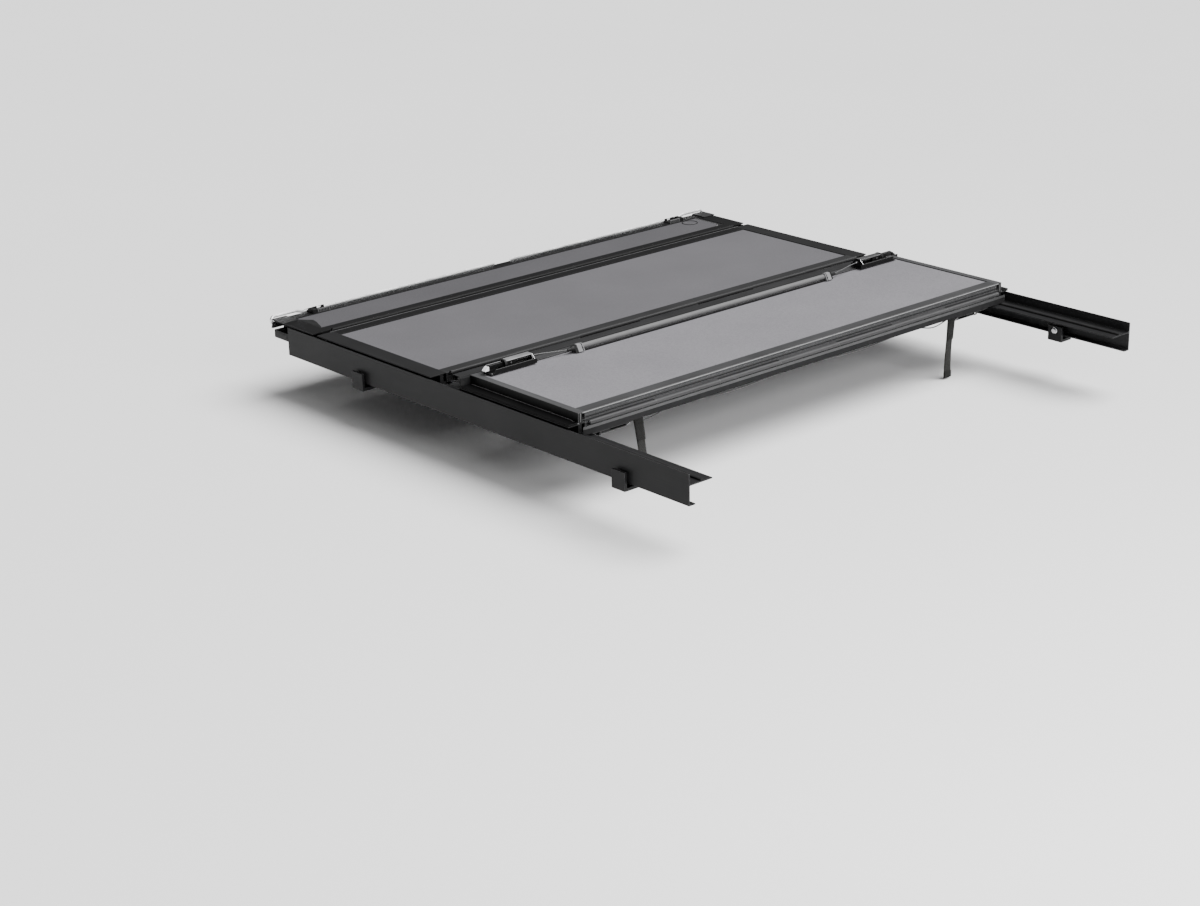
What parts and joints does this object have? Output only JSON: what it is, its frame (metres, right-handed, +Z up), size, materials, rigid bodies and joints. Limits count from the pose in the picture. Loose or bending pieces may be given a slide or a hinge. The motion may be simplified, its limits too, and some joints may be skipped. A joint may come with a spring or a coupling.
{
  "type": "tonneau cover",
  "caption": "Hard folding tonneau cover for a pickup bed: framed grey panels on side rails, the tail panel folded forward, with sprung latches and prop rods.",
  "frame": {"origin": "on the header rail's underside, where it sits on the bed's front wall, at the middle of the bed", "axes": "+X to the passenger side, +Y towards the cab, +Z up"},
  "size_m": [1.626, 1.6251, 0.2513],
  "materials": {
    "charcoal_frame": "satin charcoal powder coat",
    "grey_skin": "fine pebbled matt grey skin",
    "rail_aluminium": "satin black coating",
    "black_rubber": "matt",
    "black_plastic": "fine moulded grain",
    "grey_plastic": "fine moulded grain",
    "latch_metal": "satin coating",
    "release_tube": "satin",
    "zinc_steel": "bright zinc plate",
    "webbing": "woven webbing"
  },
  "bodies": {
    "base": {"header_rail": "rail_aluminium", "header_seal": "black_rubber", "front_panel_frame": "charcoal_frame", "front_panel_board": "grey_skin", "front_hinge_pin": "zinc_steel", "left_side_rail": "rail_aluminium", "left_rail_seal": "black_rubber", "left_rail_clamp_1": "rail_aluminium", "left_rail_clamp_2": "rail_aluminium", "left_corner_cap": "grey_plastic", "left_rod_pivot_screw": "zinc_steel", "left_rod_clip": "black_plastic", "right_side_rail": "rail_aluminium", "right_rail_seal": "black_rubber", "right_rail_clamp_1": "rail_aluminium", "right_rail_clamp_2": "rail_aluminium", "right_corner_cap": "grey_plastic", "right_rod_pivot_screw": "zinc_steel", "right_rod_clip": "black_plastic"},
    "left_rod": {"left_prop_rod": "zinc_steel"},
    "right_rod": {"right_prop_rod": "zinc_steel"},
    "second_panel": {"second_panel_front_bar": "charcoal_frame", "second_panel_rear_bar": "charcoal_frame", "second_panel_left_bar": "charcoal_frame", "second_panel_right_bar": "charcoal_frame", "second_panel_board": "grey_skin", "link_front_pin": "zinc_steel"},
    "link": {"link_bar": "charcoal_frame"},
    "third_panel": {"third_panel_front_bar": "charcoal_frame", "third_panel_rear_bar": "charcoal_frame", "third_panel_left_bar": "charcoal_frame", "third_panel_right_bar": "charcoal_frame", "third_panel_board": "grey_skin", "link_rear_pin": "zinc_steel", "tail_hinge_pin": "zinc_steel", "third_panel_left_latch_housing": "latch_metal", "third_panel_right_latch_housing": "latch_metal", "third_panel_left_latch_spring": "zinc_steel", "third_panel_right_latch_spring": "zinc_steel", "third_release_cable": "black_rubber", "left_pull_strap": "webbing", "right_pull_strap": "webbing"},
    "third_left_bolt": {"third_panel_left_latch_bolt": "zinc_steel"},
    "third_right_bolt": {"third_panel_right_latch_bolt": "zinc_steel"},
    "tail_panel": {"tail_panel_front_bar": "charcoal_frame", "tail_panel_rear_bar": "charcoal_frame", "tail_panel_left_bar": "charcoal_frame", "tail_panel_right_bar": "charcoal_frame", "tail_panel_board": "grey_skin", "tail_seal": "black_rubber", "tail_panel_left_latch_housing": "latch_metal", "tail_panel_right_latch_housing": "latch_metal", "tail_panel_left_latch_spring": "zinc_steel", "tail_panel_right_latch_spring": "zinc_steel", "release_tube": "release_tube", "release_tube_left_clip": "black_plastic", "release_tube_right_clip": "black_plastic", "tail_release_cable": "black_rubber"},
    "tail_left_bolt": {"tail_panel_left_latch_bolt": "zinc_steel"},
    "tail_right_bolt": {"tail_panel_right_latch_bolt": "zinc_steel"}
  },
  "joints": [
    {"name": "second_panel_fold", "type": "hinge", "parent": "base", "child": "second_panel", "pos_m": [0, -0.15915, 0.0485], "axis": [-1, 0, 0], "range_deg": [0, 80]},
    {"name": "link_fold", "type": "hinge", "parent": "second_panel", "child": "link", "pos_m": [0, -0.66185, 0.0485], "axis": [-1, 0, 0], "range_deg": [0, 90]},
    {"name": "third_panel_fold", "type": "hinge", "parent": "link", "child": "third_panel", "pos_m": [0, -0.71885, 0.0485], "axis": [-1, 0, 0], "range_deg": [0, 90]},
    {"name": "tail_panel_fold", "type": "hinge", "parent": "third_panel", "child": "tail_panel", "pos_m": [0, -1.18335, 0.0485], "axis": [-1, 0, 0], "range_deg": [-180, 0]},
    {"name": "third_left_latch_slide", "type": "slide", "parent": "third_panel", "child": "third_left_bolt", "axis": [-1, 0, 0], "range_m": [-0.022, 0], "stiffness_N_per_m": 400, "deforming": ["third_panel_left_latch_spring"]},
    {"name": "third_right_latch_slide", "type": "slide", "parent": "third_panel", "child": "third_right_bolt", "axis": [1, 0, 0], "range_m": [-0.022, 0], "stiffness_N_per_m": 400, "deforming": ["third_panel_right_latch_spring"]},
    {"name": "tail_left_latch_slide", "type": "slide", "parent": "tail_panel", "child": "tail_left_bolt", "axis": [-1, 0, 0], "range_m": [-0.022, 0], "stiffness_N_per_m": 400, "deforming": ["tail_panel_left_latch_spring"]},
    {"name": "tail_right_latch_slide", "type": "slide", "parent": "tail_panel", "child": "tail_right_bolt", "axis": [1, 0, 0], "range_m": [-0.022, 0], "stiffness_N_per_m": 400, "deforming": ["tail_panel_right_latch_spring"]},
    {"name": "left_rod_swing", "type": "hinge", "parent": "base", "child": "left_rod", "pos_m": [-0.792, 0.0375, 0.036], "axis": [0, -0.9397, -0.342], "range_deg": [0, 43]},
    {"name": "right_rod_swing", "type": "hinge", "parent": "base", "child": "right_rod", "pos_m": [0.792, 0.0375, 0.036], "axis": [0, 0.9397, 0.342], "range_deg": [0, 43]}
  ],
  "couplings": [
    {"joint": "third_right_latch_slide", "follows": "third_left_latch_slide", "ratio": 1},
    {"joint": "tail_right_latch_slide", "follows": "tail_left_latch_slide", "ratio": 1}
  ]
}
